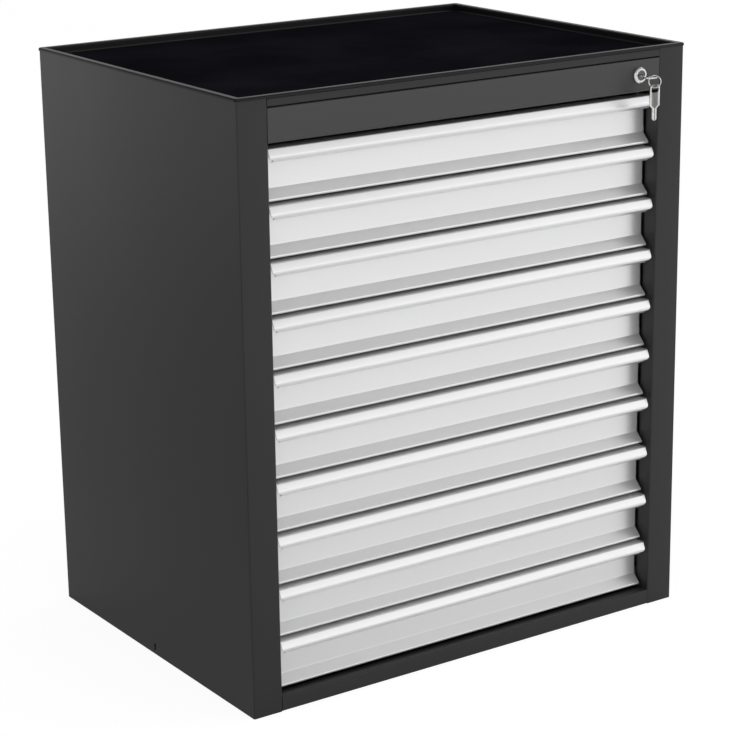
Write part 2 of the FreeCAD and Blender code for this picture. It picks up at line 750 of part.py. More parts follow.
# Spare key hanging on the bottom of the ring.
WIRE_Z = f"({LOCK_Z}-ring_below-ring_radius)"
SPARE_TOP = f"({WIRE_Z}+spare_above)"
spare = new_body("spare_key", y=f"{RING_Y}+key_thickness/2")
half_outline = [
    ("spare_top_half", SPARE_TOP),
    ("spare_half_width", f"{SPARE_TOP}-spare_shoulder"),
    ("spare_half_width", f"{SPARE_TOP}-spare_bow+spare_waist"),
    ("spare_blade_half", f"{SPARE_TOP}-spare_bow"),
    ("spare_blade_half", f"{SPARE_TOP}-spare_length+spare_tip_rise"),
    ("spare_tip_half", f"{SPARE_TOP}-spare_length"),
]
right_side = [(f"{RING_X}+{a}", b) for a, b in half_outline]
left_side = [(f"{RING_X}-{a}", b) for a, b in reversed(half_outline)]
spare_plan = sketch_on(spare, "spare_plan", "XZ_Plane", [right_side + left_side])
spare_plate = grow(spare, "Pad", "spare_plate", spare_plan, "key_thickness")
HOLE_Z = f"({WIRE_Z}+ring_wire+spare_hang-spare_hole_half)"
spare_hole_plan = sketch_on(
    spare,
    "spare_hole_plan",
    "XZ_Plane",
    [rectangle((f"{RING_X}-spare_hole_flat-spare_hole_half", f"{RING_X}+spare_hole_flat+spare_hole_half"),
               (f"{HOLE_Z}-spare_hole_half", f"{HOLE_Z}+spare_hole_half"))],
)
spare_hole = grow(spare, "Pocket", "spare_hole", spare_hole_plan, "key_thickness", reverse=True)
spare.Tip = rounded(
    spare, "spare_hole_corners", spare_hole, "spare_hole_round",
    lambda e: e.BoundBox.YLength > 0.5 and e.BoundBox.XLength < 1e-6 and e.BoundBox.ZLength < 1e-6
    and abs(e.BoundBox.Center.z - number(HOLE_Z)) < number("spare_hole_half") + 1e-3
    and abs(e.BoundBox.Center.x - number(RING_X)) < number("spare_half_width") - 1,
)
node(spare, "spare_key")

# Lock bar: upright strip beside the drawers with an arm that the cam pin lifts.
ARM_Z = f"({LOCK_Z}-pin_offset)"
bar = new_body("lock_bar", y=back("bar_front+bar_gauge"))
bar_plan = sketch_on(
    bar,
    "bar_plan",
    "XZ_Plane",
    [[
        (beside("bar_left"), "bar_foot"),
        (beside("bar_right"), "bar_foot"),
        (beside("bar_right"), f"{ARM_Z}+bar_arm_half"),
        (f"{LOCK_X}-bar_arm_reach", f"{ARM_Z}+bar_arm_half"),
        (f"{LOCK_X}-bar_arm_reach", f"{ARM_Z}-bar_arm_half"),
        (beside("bar_left"), f"{ARM_Z}-bar_arm_half"),
    ]],
)
bar_plate = grow(bar, "Pad", "bar_plate", bar_plan, "bar_gauge")
bar_slot_plan = sketch_on(
    bar,
    "bar_slot_plan",
    "XZ_Plane",
    [rectangle((f"{LOCK_X}-pin_offset*1.4143-pin_radius-bar_slot_clear",
                f"{LOCK_X}-pin_offset+pin_radius+bar_slot_clear"),
               (f"{ARM_Z}-pin_radius-bar_slot_clear", f"{ARM_Z}+pin_radius+bar_slot_clear"))],
)
bar.Tip = grow(bar, "Pocket", "bar_slot", bar_slot_plan, "bar_gauge", reverse=True)
node(bar, "lock_bar")

lugs = []
for n in range(DRAWERS):
    low = f"({top_of(n)}-lug_drop)"
    lugs.append(
        box(
            f"lug_{n}",
            (beside("lug_left"), beside("lug_right")),
            (back("bar_front-lug_gauge"), back("bar_front")),
            (low, f"{low}+lug_height"),
        )
    )
node(group("bar_lugs", lugs), "bar_lugs")

# Guides that hold the bar against the right front post.
guides = []
for n in GUIDE_DRAWERS:
    guides.append(
        folded(
            f"guide_{n}",
            "XY",
            ("0", "0", f"{top_of(n)}-guide_drop"),
            [
                (beside("guide_left"), back("guide_turn")),
                (beside("guide_left"), back("guide_front")),
                (beside("guide_right"), back("guide_front")),
                (beside("guide_right"), back("post_front")),
            ],
            ["bend_radius"] * 2,
            "runner_gauge",
            "guide_height",
        )
    )
node(group("bar_guides", guides), "bar_guides")

# Drawers: folded front with a curled lip and a flared foot, tray, runners and rollers.
# A sheet that bends by 45 degrees or by 135 degrees shifts its corner by these parts of its gauge.
FLAT = 1.0 / math.tan(math.radians(67.5))
STEEP = 1.0 / FLAT
for n in range(DRAWERS):
    name = f"drawer_{n + 1:02d}"
    top = top_of(n)
    low = f"({top}-channel_drop)"
    flare_end = f"(-{FRONT_HEIGHT}+front_flare)"
    front = folded(
        name + "_front",
        "YZ",
        (across("jamb_width+front_side_gap"), FRONT, top),
        [
            ("front_foot_return", f"-{FRONT_HEIGHT}+sheet_gauge"),
            (f"front_set_back-front_flare+{STEEP}*sheet_gauge", f"-{FRONT_HEIGHT}+sheet_gauge"),
            ("front_set_back+sheet_gauge", f"{flare_end}-{FLAT}*sheet_gauge"),
            ("front_set_back+sheet_gauge", "0"),
            ("lip_back", "0"),
            ("lip_nose_back", "-lip_nose_drop"),
            ("lip_end_back", "-lip_end_drop"),
        ],
        [
            "front_foot_radius-sheet_gauge",
            "flare_bend",
            "bend_radius",
            "bend_radius",
            "lip_nose_radius",
        ],
        "sheet_gauge",
        "body_width-2*jamb_width-2*front_side_gap",
    )
    front_end = across("jamb_width+front_side_gap")
    corner_z = f"({top}-lip_corner_drop+lip_corner)"
    corner_block = box(
        name + "_lip_corner",
        (f"{front_end}-1", f"{front_end}+lip_corner"),
        (back("-1"), back("lip_end_back+1")),
        (f"{top}-lip_end_drop-1", corner_z),
    )
    corner_round = rod(name + "_lip_round", ALONG_Y, "lip_corner", "lip_end_back+4",
                       f"{front_end}+lip_corner", back("-2"), corner_z)
    corner = cut(name + "_lip_waste", corner_block, corner_round)
    corners = fuse(name + "_lip_wastes", [corner, mirrored(name + "_lip_waste_right", corner)])
    node(cut(name + "_front_trimmed", front, corners), name + "_front")

    pan = new_body(name + "_tray", z=top)
    pan_x = (across("jamb_width+tray_side_gap"), "(body_width/2-jamb_width-tray_side_gap)")
    pan_y = (back("front_set_back+sheet_gauge"), back("tray_back"))
    pan_low = f"(-{FRONT_HEIGHT}+tray_lift)"
    outer = sketch_on(pan, name + "_plan", "XY_Plane", [rectangle(pan_x, pan_y)], offset=pan_low)
    solid = grow(pan, "Pad", name + "_block", outer, f"-tray_drop-{pan_low}")
    solid = rounded(pan, name + "_corners", solid, "tray_bend", upright)
    wall_x = (f"{pan_x[0]}+sheet_gauge", f"{pan_x[1]}-sheet_gauge")
    wall_y = (f"{pan_y[0]}+sheet_gauge", f"{pan_y[1]}-sheet_gauge")
    inner = sketch_on(pan, name + "_well_plan", "XY_Plane", [rectangle(wall_x, wall_y)], offset="-tray_drop")
    solid = grow(pan, "Pocket", name + "_well", inner, f"-tray_drop-{pan_low}-sheet_gauge")
    hem_x = (f"{wall_x[0]}+sheet_gauge", f"{wall_x[1]}-sheet_gauge")
    hem_y = (f"{wall_y[0]}+sheet_gauge", f"{wall_y[1]}-sheet_gauge")
    hem = sketch_on(
        pan, name + "_hem_plan", "XY_Plane",
        [rectangle(wall_x, wall_y), rectangle(hem_x, hem_y)],
        offset="-tray_drop-hem_height",
    )
    pan.Tip = grow(pan, "Pad", name + "_hem", hem, "hem_height")
    node(pan, name + "_tray")

    rail_x = pan_x[0]
    runner = folded(
        name + "_rail",
        "XZ",
        ("0", back("rail_stop"), "0"),
        [
            (rail_x, f"{low}+rail_rise"),
            (rail_x, f"{low}+rail_rise+rail_web"),
            (f"{rail_x}-rail_flange", f"{low}+rail_rise+rail_web"),
        ],
        ["bend_radius"],
        "runner_gauge",
        "rail_stop-rail_front",
    )
    runner_end = box(
        name + "_rail_end",
        (f"{rail_x}-runner_gauge", rail_x),
        (back("rail_stop"), back("rail_back")),
        (f"{low}+rail_rise", f"{low}+rail_rise+rail_web-rail_end_cut"),
    )
    runner_left = fuse(name + "_rail_left", [runner, runner_end])
    tab_low = f"({top}-tab_drop)"
    wall = pan_x[1]
    tab_leg = box(
        name + "_tab_leg",
        (wall, f"{wall}+tab_reach"),
        (back("tab_front"), back("tab_front+tab_gauge")),
        (tab_low, f"{tab_low}+tab_height"),
    )
    tab_foot = box(
        name + "_tab_foot",
        (wall, f"{wall}+runner_gauge"),
        (back("tab_front"), back("tab_front+tab_foot")),
        (tab_low, f"{tab_low}+tab_height"),
    )
    tab = fuse(name + "_tab", [tab_leg, tab_foot])
    node(group(name + "_runners", [runner_left, mirrored(name + "_rail_right", runner_left), tab]),
         name + "_runners")

    roller = rod(
        name + "_roller",
        ALONG_X,
        "drawer_roller_radius",
        "drawer_roller_length",
        f"{rail_x}-runner_gauge-drawer_roller_length",
        back("drawer_roller_back"),
        f"{low}+runner_gauge+roller_clear+drawer_roller_radius",
    )
    node(group(name + "_rollers", [roller, mirrored(name + "_roller_right", roller)]), name + "_rollers")

doc.recompute()
for obj in doc.Objects:
    if {"Invalid", "Error"} & set(obj.State):
        raise RuntimeError(f"{obj.Name} {obj.State}")
os.makedirs("parts", exist_ok=True)
for name, obj in NODES.items():
    shape = obj.Shape
    if shape.isNull() or not shape.isValid() or not shape.Solids:
        raise RuntimeError(f"{name} has no valid solid")
    shape.exportStep(f"parts/{name}.step")
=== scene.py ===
import math

import bpy
import numpy as np
from mathutils import Matrix, Vector

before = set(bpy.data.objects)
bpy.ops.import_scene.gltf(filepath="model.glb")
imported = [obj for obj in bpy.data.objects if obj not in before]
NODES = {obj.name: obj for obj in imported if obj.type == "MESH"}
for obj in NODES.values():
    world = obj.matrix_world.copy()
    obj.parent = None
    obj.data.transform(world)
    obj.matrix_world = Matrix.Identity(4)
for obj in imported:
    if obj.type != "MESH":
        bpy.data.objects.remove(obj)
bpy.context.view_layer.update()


# ---------------------------------------------------------------- body sheets
# Side panels, back, base and roof are folded steel sheet, welded together and powder
# coated dark grey. The coat has a fine orange peel and a little mottle.
BODY_GREY = (0.0290, 0.0290, 0.0292, 1.0)
BODY_SHEETS = ("side_panel_left", "side_panel_right", "back_panel", "base_panel", "roof_panel")
PEEL_DEPTH = 0.0004
WELD_REACH = 0.000005
CRISP_ANGLE = math.radians(32)


def new_group(name, inputs, outputs):
    """An empty shader node group.

    Each input is (name, kind, value) and each output (name, kind).
    """
    group = bpy.data.node_groups.new(name, "ShaderNodeTree")
    for label, kind, value in inputs:
        socket = group.interface.new_socket(name=label, in_out="INPUT", socket_type=kind)
        socket.default_value = value
    for label, kind in outputs:
        group.interface.new_socket(name=label, in_out="OUTPUT", socket_type=kind)
    return group, group.nodes.new("NodeGroupInput"), group.nodes.new("NodeGroupOutput")


def powder_coat_group():
    """Powder coat: a wide soft mottle in tone, fine specks, and an orange peel for the bump.

    Tone = base colour times (1 + mottle x (wide noise - 0.5) + specks x (fine noise - 0.5)).
    Roughness = base roughness plus a tenth of the wide noise. Height = peel noise.
    """
    number, colour = "NodeSocketFloat", "NodeSocketColor"
    group, given, out = new_group(
        "powder_coat",
        [
            ("Colour", colour, (0.5, 0.5, 0.5, 1.0)),
            ("Mottle", number, 0.1),
            ("Specks", number, 0.06),
            ("Roughness", number, 0.4),
            ("Peel Scale", number, 420.0),
        ],
        [("Colour", colour), ("Roughness", number), ("Height", number)],
    )
    add, join = group.nodes.new, group.links.new
    place = add("ShaderNodeTexCoord")
    wide = add("ShaderNodeTexNoise")
    wide.inputs["Scale"].default_value = 5.0
    wide.inputs["Detail"].default_value = 4.0
    fine = add("ShaderNodeTexNoise")
    fine.inputs["Scale"].default_value = 1500.0
    fine.inputs["Detail"].default_value = 2.0
    peel = add("ShaderNodeTexNoise")
    peel.inputs["Detail"].default_value = 1.5
    join(given.outputs["Peel Scale"], peel.inputs["Scale"])
    for noise in (wide, fine, peel):
        join(place.outputs["Object"], noise.inputs["Vector"])

    def centred(noise, amount):
        """amount x (noise - 0.5)"""
        less = add("ShaderNodeMath")
        less.operation = "SUBTRACT"
        join(noise.outputs["Fac"], less.inputs[0])
        less.inputs[1].default_value = 0.5
        times = add("ShaderNodeMath")
        times.operation = "MULTIPLY"
        join(less.outputs[0], times.inputs[0])
        join(given.outputs[amount], times.inputs[1])
        return times

    tone = add("ShaderNodeMath")
    tone.operation = "ADD"
    join(centred(wide, "Mottle").outputs[0], tone.inputs[0])
    join(centred(fine, "Specks").outputs[0], tone.inputs[1])
    lift = add("ShaderNodeMath")
    lift.operation = "ADD"
    join(tone.outputs[0], lift.inputs[0])
    lift.inputs[1].default_value = 1.0
    paint = add("ShaderNodeVectorMath")
    paint.operation = "SCALE"
    join(given.outputs["Colour"], paint.inputs[0])
    join(lift.outputs[0], paint.inputs["Scale"])
    join(paint.outputs[0], out.inputs["Colour"])
    rough = add("ShaderNodeMath")
    rough.operation = "MULTIPLY_ADD"
    join(wide.outputs["Fac"], rough.inputs[0])
    rough.inputs[1].default_value = 0.1
    join(given.outputs["Roughness"], rough.inputs[2])
    join(rough.outputs[0], out.inputs["Roughness"])
    join(peel.outputs["Fac"], out.inputs["Height"])
    return group


POWDER_COAT = powder_coat_group()


def coated(
    name, colour, roughness, mottle, specks, peel, peel_scale=420.0, specular=0.5, metallic=0.0
):
    """A powder coated or moulded finish.

    The metallic share is above zero where the powder holds aluminium flakes.
    """
    finish = bpy.data.materials.new(name)
    finish.use_nodes = True
    nodes, join = finish.node_tree.nodes, finish.node_tree.links.new
    shader = nodes["Principled BSDF"]
    shader.inputs["Specular IOR Level"].default_value = specular
    shader.inputs["Metallic"].default_value = metallic
    coat = nodes.new("ShaderNodeGroup")
    coat.node_tree = POWDER_COAT
    coat.inputs["Colour"].default_value = colour
    coat.inputs["Roughness"].default_value = roughness
    coat.inputs["Mottle"].default_value = mottle
    coat.inputs["Specks"].default_value = specks
    coat.inputs["Peel Scale"].default_value = peel_scale
    bump = nodes.new("ShaderNodeBump")
    bump.inputs["Strength"].default_value = peel
    bump.inputs["Distance"].default_value = PEEL_DEPTH
    join(coat.outputs["Colour"], shader.inputs["Base Color"])
    join(coat.outputs["Roughness"], shader.inputs["Roughness"])
    join(coat.outputs["Height"], bump.inputs["Height"])
    join(bump.outputs["Normal"], shader.inputs["Normal"])
    return finish


def dress(node, finish):
    """Give a CAD piece its finish, and shade its bends round and its edges crisp."""
    piece = NODES[node]
    piece.data.materials.clear()
    piece.data.materials.append(finish)
    piece.data.polygons.foreach_set("use_smooth", np.ones(len(piece.data.polygons), dtype=bool))
    weld = piece.modifiers.new("joined", "WELD")
    weld.merge_threshold = WELD_REACH
    crisp = piece.modifiers.new("crisp", "EDGE_SPLIT")
    crisp.split_angle = CRISP_ANGLE


body_paint = coated(
    "body_paint", BODY_GREY, roughness=0.30, mottle=0.16, specks=0.10, peel=0.10, specular=0.30
)
for sheet in BODY_SHEETS:
    dress(sheet, body_paint)


# ---------------------------------------------------------------- lock rail
# The folded rail that carries the lock has the same coat, painted a lighter grey than the jambs
# beside it as painted light for the brighter light it catches, and it mirrors a little more.
# Lighter grey as painted light: the rail's coat is the body's coat.
RAIL_LIT_GREY = (0.044, 0.044, 0.0435, 1.0)
lit_rail_paint = coated("lit_rail_paint", RAIL_LIT_GREY, roughness=0.34, mottle=0.16, specks=0.10, peel=0.10)
dress("lock_rail", lit_rail_paint)


# ---------------------------------------------------------------- posts, channels and lock bar
# Folded zinc plated strip inside the body: runner posts and channels, and the lock bar with
# its lugs and guides. The plating is cool grey with a soft crystalline cloud and rolling lines.
ZINC_GREY = (0.42, 0.43, 0.45, 1.0)
ZINC_PIECES = ("runner_posts", "runner_channels", "bar_guides", "lock_bar", "bar_lugs")
SCRATCH_DEPTH = 0.0002


def plated_group():
    """Zinc plate: cells a few millimetres wide change tone and gloss, with fine level lines.

    Tone = base colour times 0.86 to 1.1 by cell. Roughness = base roughness plus 0.15 of the
    cell's grey. Height = a noise drawn out along X and Y.
    """
    number, colour = "NodeSocketFloat", "NodeSocketColor"
    group, given, out = new_group(
        "zinc_plate",
        [
            ("Colour", colour, (0.5, 0.5, 0.5, 1.0)),
            ("Roughness", number, 0.35),
            ("Cells", number, 140.0),
        ],
        [("Colour", colour), ("Roughness", number), ("Height", number)],
    )
    add, join = group.nodes.new, group.links.new
    place = add("ShaderNodeTexCoord")
    cells = add("ShaderNodeTexVoronoi")
    join(place.outputs["Object"], cells.inputs["Vector"])
    join(given.outputs["Cells"], cells.inputs["Scale"])
    grey = add("ShaderNodeRGBToBW")
    join(cells.outputs["Color"], grey.inputs[0])
    tone = add("ShaderNodeMapRange")
    join(grey.outputs[0], tone.inputs["Value"])
    tone.inputs["To Min"].default_value = 0.86
    tone.inputs["To Max"].default_value = 1.1
    paint = add("ShaderNodeVectorMath")
    paint.operation = "SCALE"
    join(given.outputs["Colour"], paint.inputs[0])
    join(tone.outputs[0], paint.inputs["Scale"])
    join(paint.outputs[0], out.inputs["Colour"])
    rough = add("ShaderNodeMath")
    rough.operation = "MULTIPLY_ADD"
    join(grey.outputs[0], rough.inputs[0])
    rough.inputs[1].default_value = 0.15
    join(given.outputs["Roughness"], rough.inputs[2])
    join(rough.outputs[0], out.inputs["Roughness"])
    stretch = add("ShaderNodeMapping")
    stretch.inputs["Scale"].default_value = (30.0, 30.0, 2500.0)
    lines = add("ShaderNodeTexNoise")
    lines.inputs["Scale"].default_value = 1.0
    join(place.outputs["Object"], stretch.inputs["Vector"])
    join(stretch.outputs[0], lines.inputs["Vector"])
    join(lines.outputs["Fac"], out.inputs["Height"])
    return group


ZINC_PLATE = plated_group()


def plated(name, colour, roughness, cells=140.0, scratch=0.08):
    """A plated metal finish."""
    finish = bpy.data.materials.new(name)
    finish.use_nodes = True
    nodes, join = finish.node_tree.nodes, finish.node_tree.links.new
    shader = nodes["Principled BSDF"]
    shader.inputs["Metallic"].default_value = 1.0
    plate = nodes.new("ShaderNodeGroup")
    plate.node_tree = ZINC_PLATE
    plate.inputs["Colour"].default_value = colour
    plate.inputs["Roughness"].default_value = roughness
    plate.inputs["Cells"].default_value = cells
    bump = nodes.new("ShaderNodeBump")
    bump.inputs["Strength"].default_value = scratch
    bump.inputs["Distance"].default_value = SCRATCH_DEPTH
    join(plate.outputs["Colour"], shader.inputs["Base Color"])
    join(plate.outputs["Roughness"], shader.inputs["Roughness"])
    join(plate.outputs["Height"], bump.inputs["Height"])
    join(bump.outputs["Normal"], shader.inputs["Normal"])
    return finish


runner_zinc = plated("runner_zinc", ZINC_GREY, roughness=0.34)
for strip in ZINC_PIECES:
    dress(strip, runner_zinc)


# ---------------------------------------------------------------- rollers on the body
# Moulded nylon rollers riveted to the front end of each runner channel.
# The nylon is off white, slightly waxy, with a faint moulding grain.
NYLON_WHITE = (0.62, 0.61, 0.57, 1.0)
roller_nylon = coated(
    "roller_nylon",
    NYLON_WHITE,
    roughness=0.38,
    mottle=0.08,
    specks=0.03,
    peel=0.05,
    peel_scale=900.0,
    specular=0.45,
)
dress("channel_rollers", roller_nylon)


# ---------------------------------------------------------------- tray top
# Shallow black plastic tray that covers the body, with a low rounded rim.
# The plastic is satin with a fine spark grain.
PLASTIC_BLACK = (0.006, 0.006, 0.0068, 1.0)
tray_plastic = coated(
    "tray_plastic",
    PLASTIC_BLACK,
    roughness=0.28,
    mottle=0.2,
    specks=0.3,
    peel=0.10,
    peel_scale=1100.0,
    specular=0.24,
)
dress("top_tray", tray_plastic)


# ---------------------------------------------------------------- mat
# Thin black rubber mat lying in the tray. Its face is matt with a fine pebble grain
# and a faint bluish bloom in wide clouds.
RUBBER_BLACK = (0.0062, 0.0062, 0.0080, 1.0)
RUBBER_BLOOM = (0.0115, 0.0115, 0.0165, 1.0)
GRAIN_DEPTH = 0.0003


def mat_finish():
    """Matt rubber: a wide noise mixes near black with a bluish bloom, small cells give the grain.

    Roughness = 0.70 to 0.90 over the same wide noise.
    """
    finish = bpy.data.materials.new("mat_rubber")
    finish.use_nodes = True
    nodes, join = finish.node_tree.nodes, finish.node_tree.links.new
    shader = nodes["Principled BSDF"]
    shader.inputs["Specular IOR Level"].default_value = 0.0
    place = nodes.new("ShaderNodeTexCoord")
    clouds = nodes.new("ShaderNodeTexNoise")
    clouds.inputs["Scale"].default_value = 7.0
    clouds.inputs["Detail"].default_value = 5.0
    bloom = nodes.new("ShaderNodeValToRGB")
    bloom.color_ramp.elements[0].position = 0.35
    bloom.color_ramp.elements[0].color = RUBBER_BLACK
    bloom.color_ramp.elements[1].position = 0.75
    bloom.color_ramp.elements[1].color = RUBBER_BLOOM
    grain = nodes.new("ShaderNodeTexVoronoi")
    grain.inputs["Scale"].default_value = 620.0
    bump = nodes.new("ShaderNodeBump")
    bump.inputs["Strength"].default_value = 0.35
    bump.inputs["Distance"].default_value = GRAIN_DEPTH
    rough = nodes.new("ShaderNodeMapRange")
    rough.inputs["To Min"].default_value = 0.70
    rough.inputs["To Max"].default_value = 0.90
    join(place.outputs["Object"], clouds.inputs["Vector"])
    join(place.outputs["Object"], grain.inputs["Vector"])
    join(clouds.outputs["Fac"], bloom.inputs["Fac"])
    join(bloom.outputs["Color"], shader.inputs["Base Color"])
    join(clouds.outputs["Fac"], rough.inputs["Value"])
    join(rough.outputs[0], shader.inputs["Roughness"])
    join(grain.outputs["Distance"], bump.inputs["Height"])
    join(bump.outputs["Normal"], shader.inputs["Normal"])
    return finish


dress("top_mat", mat_finish())


# ---------------------------------------------------------------- lock
# Chromed die cast barrel with a bevelled head, and a turning plug with a flat keyway.
# The face shows faint turned rings around the lock's axis.
LOCK_CENTRE = (0.280, -0.270, 0.784)
CHROME = (0.80, 0.80, 0.81, 1.0)
# The plug's dark grey is painted shade. It stands for the crevice round the plug and the key's
# shadow on it.
PLUG_PAINTED_SHADE = (0.14, 0.14, 0.14, 1.0)
RING_DEPTH = 0.0001
CLOUD_TONE = 0.82
CLOUD_ROUGHNESS = 0.12


def turned_finish(name, colour, roughness):
    """Polished metal with turned rings: a wave of the distance from the lock's axis, in X and Z.

    A small noise darkens it to the cloud tone and adds up to the cloud roughness.
    """
    finish = bpy.data.materials.new(name)
    finish.use_nodes = True
    nodes, join = finish.node_tree.nodes, finish.node_tree.links.new
    shader = nodes["Principled BSDF"]
    shader.inputs["Metallic"].default_value = 1.0
    place = nodes.new("ShaderNodeTexCoord")
    centre = nodes.new("ShaderNodeMapping")
    centre.inputs["Location"].default_value = tuple(-c for c in LOCK_CENTRE)
    rings = nodes.new("ShaderNodeTexWave")
    rings.wave_type = "RINGS"
    rings.rings_direction = "Y"
    rings.inputs["Scale"].default_value = 420.0
    rings.inputs["Distortion"].default_value = 0.6
    cloud = nodes.new("ShaderNodeTexNoise")
    cloud.inputs["Scale"].default_value = 260.0
    tone = nodes.new("ShaderNodeMixRGB")
    tone.inputs["Color1"].default_value = colour
    tone.inputs["Color2"].default_value = tuple(CLOUD_TONE * c for c in colour[:3]) + (1.0,)
    rough = nodes.new("ShaderNodeMapRange")
    rough.inputs["To Min"].default_value = roughness
    rough.inputs["To Max"].default_value = roughness + CLOUD_ROUGHNESS
    bump = nodes.new("ShaderNodeBump")
    bump.inputs["Strength"].default_value = 0.04
    bump.inputs["Distance"].default_value = RING_DEPTH
    join(place.outputs["Object"], centre.inputs["Vector"])
    join(centre.outputs[0], rings.inputs["Vector"])
    join(centre.outputs[0], cloud.inputs["Vector"])
    join(cloud.outputs["Fac"], tone.inputs["Fac"])
    join(tone.outputs[0], shader.inputs["Base Color"])
    join(cloud.outputs["Fac"], rough.inputs["Value"])
    join(rough.outputs[0], shader.inputs["Roughness"])
    join(rings.outputs["Fac"], bump.inputs["Height"])
    join(bump.outputs["Normal"], shader.inputs["Normal"])
    return finish


dress("lock_housing", turned_finish("lock_chrome", CHROME, roughness=0.10))
dress("lock_plug", turned_finish("plug_nickel_painted_shade", PLUG_PAINTED_SHADE, roughness=0.22))
dress("lock_cam", runner_zinc)


# ---------------------------------------------------------------- keys and ring
# Two stamped nickel plated keys, one in the lock and one hanging from a spring wire ring.
# The spare key carries painted light: a painted highlight along its edges and on the blade, and
# painted shade across the middle of its bow.
NICKEL = (0.66, 0.655, 0.64, 1.0)
SPARE_KEY_X = 0.28268
SPARE_SHOULDER = (0.7419, 0.7461)
# Half widths of the painted shade on the spare key, on the blade and on the bow.
SHADED_HALF_WIDTHS = (0.0012, 0.0085)


def key_finish(name):
    """Bright nickel plate with small cells."""
    return plated(name, NICKEL, roughness=0.16, cells=160.0, scratch=0.05)


def glint_edged_key_finish():
    """Nickel with painted shade in the middle of the bow and a painted highlight at its edges and
    on the blade.

    Painted highlight = smooth step of (distance from the key's centre line / shaded half width at
    that height), where the shaded half width goes from the blade's to the bow's over the shoulder.
    where the dull half width goes from the blade's to the bow's over the shoulder.
    """
    finish = key_finish("spare_key_nickel_painted_glint")
    nodes, join = finish.node_tree.nodes, finish.node_tree.links.new
    shader = nodes["Principled BSDF"]
    place = nodes.new("ShaderNodeTexCoord")
    centred = nodes.new("ShaderNodeMapping")
    centred.inputs["Location"].default_value = (-SPARE_KEY_X, 0.0, 0.0)
    axes = nodes.new("ShaderNodeSeparateXYZ")
    across = nodes.new("ShaderNodeMath")
    across.operation = "ABSOLUTE"
    half = nodes.new("ShaderNodeMapRange")
    half.inputs["From Min"].default_value = SPARE_SHOULDER[0]
    half.inputs["From Max"].default_value = SPARE_SHOULDER[1]
    half.inputs["To Min"].default_value = SHADED_HALF_WIDTHS[0]
    half.inputs["To Max"].default_value = SHADED_HALF_WIDTHS[1]
    share = nodes.new("ShaderNodeMath")
    share.operation = "DIVIDE"
    # Tone 0.28 in the middle of the bow is painted shade, and 1.1 at the edges is a painted
    # highlight.
    painted_glint = nodes.new("ShaderNodeMapRange")
    painted_glint.interpolation_type = "SMOOTHSTEP"
    painted_glint.inputs["From Min"].default_value = 0.45
    painted_glint.inputs["From Max"].default_value = 0.92
    painted_glint.inputs["To Min"].default_value = 0.28
    painted_glint.inputs["To Max"].default_value = 1.1
    tone = nodes.new("ShaderNodeVectorMath")
    tone.operation = "SCALE"
    join(place.outputs["Object"], centred.inputs["Vector"])
    join(centred.outputs[0], axes.inputs["Vector"])
    join(axes.outputs["X"], across.inputs[0])
    join(axes.outputs["Z"], half.inputs["Value"])
    join(across.outputs[0], share.inputs[0])
    join(half.outputs[0], share.inputs[1])
    join(share.outputs[0], painted_glint.inputs["Value"])
    join(shader.inputs["Base Color"].links[0].from_socket, tone.inputs[0])
    join(painted_glint.outputs[0], tone.inputs["Scale"])
    join(tone.outputs[0], shader.inputs["Base Color"])
    return finish


key_nickel = key_finish("key_nickel")
dress("key", key_nickel)
dress("key_ring", key_nickel)
dress("spare_key", glint_edged_key_finish())


# ---------------------------------------------------------------- drawers
# Ten drawers: a folded front with a curled lip and a flared foot, a folded tray, two zinc
# plated runners and a nylon roller at the back of each. Front and tray have a silver coat.
DRAWER_COUNT = 10
FRONT_SILVER = (0.90, 0.90, 0.905, 1.0)
TRAY_SILVER = (0.70, 0.70, 0.71, 1.0)
drawer_paint = coated(
    "drawer_paint",
    FRONT_SILVER,
    roughness=0.26,
    mottle=0.03,
    specks=0.02,
    peel=0.015,
    peel_scale=380.0,
    metallic=0.58,
)
tray_paint = coated(
    "drawer_tray_paint",
    TRAY_SILVER,
    roughness=0.32,
    mottle=0.04,
    specks=0.03,
    peel=0.08,
    metallic=0.6,
)
for number in range(1, DRAWER_COUNT + 1):
    dress(f"drawer_{number:02d}_front", drawer_paint)
    dress(f"drawer_{number:02d}_tray", tray_paint)
    dress(f"drawer_{number:02d}_runners", runner_zinc)
    dress(f"drawer_{number:02d}_rollers", roller_nylon)


# ---------------------------------------------------------------- floor and backdrop
# A plain white floor that keeps the cabinet's soft shadow. In what the gloss of the steel mirrors,
# it carries a painted shadow round a spot behind the cabinet on the left, and it is whiter away
# from that spot.
FLOOR_HALF = 14.0
FLOOR_ROW = 3
FLOOR_HEIGHT = -0.0005
PAINTED_SHADOW_SPOT = (-1.5, 0.9, 0.0)
WHITE_SHARE = 0.76


def floor_surface():
    """A flat square of two by two faces, just under the cabinet's foot."""
    side = np.linspace(-FLOOR_HALF, FLOOR_HALF, FLOOR_ROW)
    x, y = np.meshgrid(side, side, indexing="ij")
    points = np.stack([x.ravel(), y.ravel(), np.full(x.size, FLOOR_HEIGHT)], axis=1)
    i, j = np.meshgrid(np.arange(FLOOR_ROW - 1), np.arange(FLOOR_ROW - 1), indexing="ij")
    corner = (i * FLOOR_ROW + j).ravel()
    across = corner + FLOOR_ROW
    faces = np.stack([corner, across, across + 1, corner + 1], axis=1)
    mesh = bpy.data.meshes.new("floor")
    mesh.from_pydata(points.tolist(), [], faces.tolist())
    floor = bpy.data.objects.new("floor", mesh)
    bpy.context.scene.collection.objects.link(floor)
    return floor


